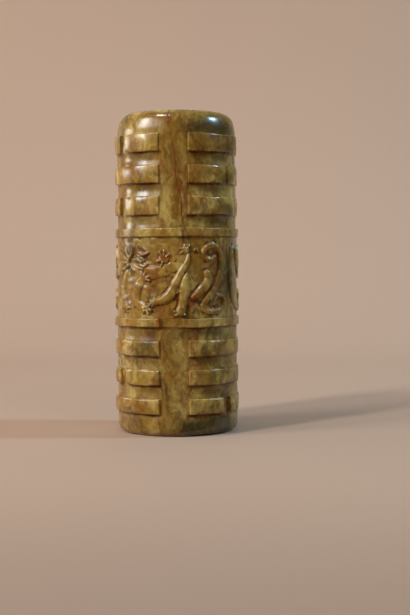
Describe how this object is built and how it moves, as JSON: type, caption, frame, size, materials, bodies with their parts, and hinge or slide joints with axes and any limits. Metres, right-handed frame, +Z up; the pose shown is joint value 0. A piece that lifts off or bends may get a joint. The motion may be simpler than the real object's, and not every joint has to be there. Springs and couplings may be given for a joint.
{
  "type": "jade cong tube",
  "caption": "Tall bored jade tube with trigrams of raised bars at both ends and dragons in relief round its waist.",
  "frame": {"origin": "middle of the foot, on the axis of the tube", "axes": "+Z up along the axis of the tube, the plain front channel at -Y, +X to the right of it"},
  "size_m": [0.059, 0.0592, 0.15],
  "materials": {
    "polished_jade": "polished olive green stone with russet veins",
    "carved_jade": "polished relief, dark in its recesses"
  },
  "bodies": {
    "root": {"tube_wall": "polished_jade", "upper_band": "carved_jade", "lower_band": "carved_jade", "upper_bar_1_front_right": "carved_jade", "upper_bar_1_rear_right": "carved_jade", "upper_bar_1_rear_left": "carved_jade", "upper_bar_1_front_left_long": "carved_jade", "upper_bar_1_front_left_short": "carved_jade", "upper_bar_2_front_right_long": "carved_jade", "upper_bar_2_front_right_short": "carved_jade", "upper_bar_2_rear_right": "carved_jade", "upper_bar_2_rear_left_long": "carved_jade", "upper_bar_2_rear_left_short": "carved_jade", "upper_bar_2_front_left": "carved_jade", "upper_bar_3_front_right": "carved_jade", "upper_bar_3_rear_right": "carved_jade", "upper_bar_3_rear_left_long": "carved_jade", "upper_bar_3_rear_left_short": "carved_jade", "upper_bar_3_front_left_long": "carved_jade", "upper_bar_3_front_left_short": "carved_jade", "lower_bar_1_front_right": "carved_jade", "lower_bar_1_rear_right_long": "carved_jade", "lower_bar_1_rear_right_short": "carved_jade", "lower_bar_1_rear_left_long": "carved_jade", "lower_bar_1_rear_left_short": "carved_jade", "lower_bar_1_front_left": "carved_jade", "lower_bar_2_front_right": "carved_jade", "lower_bar_2_rear_right": "carved_jade", "lower_bar_2_rear_left_long": "carved_jade", "lower_bar_2_rear_left_short": "carved_jade", "lower_bar_2_front_left_long": "carved_jade", "lower_bar_2_front_left_short": "carved_jade", "lower_bar_3_front_right_long": "carved_jade", "lower_bar_3_front_right_short": "carved_jade", "lower_bar_3_rear_right": "carved_jade", "lower_bar_3_rear_left": "carved_jade", "lower_bar_3_front_left": "carved_jade", "front_dragon": "carved_jade", "rear_dragon": "carved_jade"}
  },
  "joints": []
}
